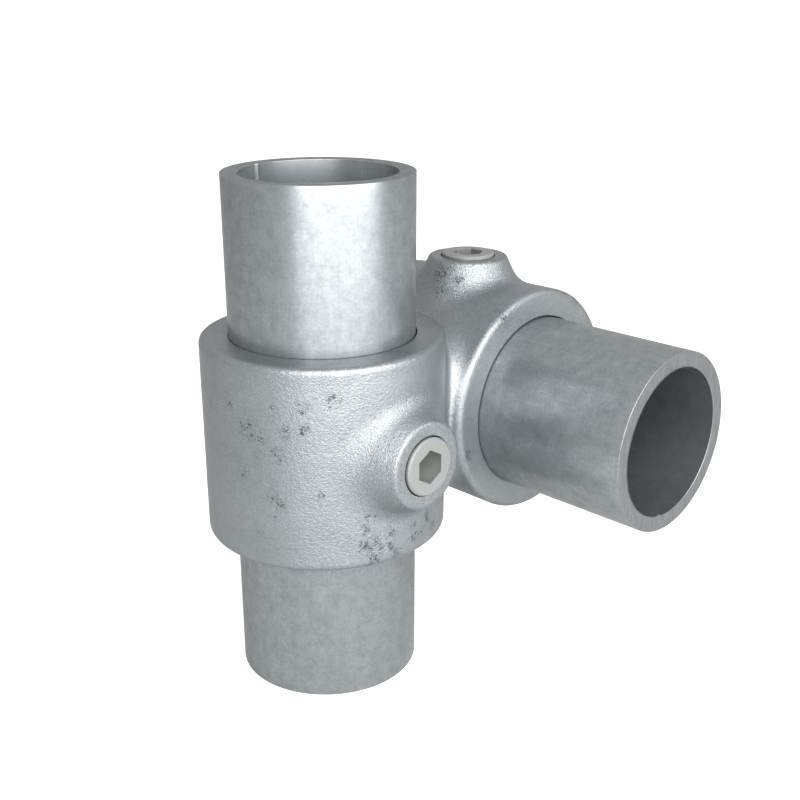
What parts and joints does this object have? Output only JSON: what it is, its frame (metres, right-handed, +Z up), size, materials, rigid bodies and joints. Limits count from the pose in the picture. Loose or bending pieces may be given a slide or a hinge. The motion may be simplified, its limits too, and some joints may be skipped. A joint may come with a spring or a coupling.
{
  "type": "crossover tube clamp",
  "caption": "Galvanised cast clamp that crosses two round tubes at right angles, side by side, each gripped by a hexagon-socket set screw.",
  "frame": {"origin": "centre of the lower end of the upright tube", "axes": "+Z up the upright tube, +X along the level tube to its front end, +Y from the upright tube to the level one"},
  "size_m": [0.135, 0.1194, 0.135],
  "materials": {
    "casting_zinc": "hot-dip galvanised casting, grainy, with small dark pits",
    "screw_steel": "pale matt plated steel",
    "tube_zinc": "hot-dip galvanised steel tube, mottled, with saw marks on the cut ends"
  },
  "bodies": {
    "root": {"clamp_casting": "casting_zinc", "front_set_screw": "screw_steel", "top_set_screw": "screw_steel", "vertical_tube": "tube_zinc", "horizontal_tube": "tube_zinc"}
  },
  "joints": []
}
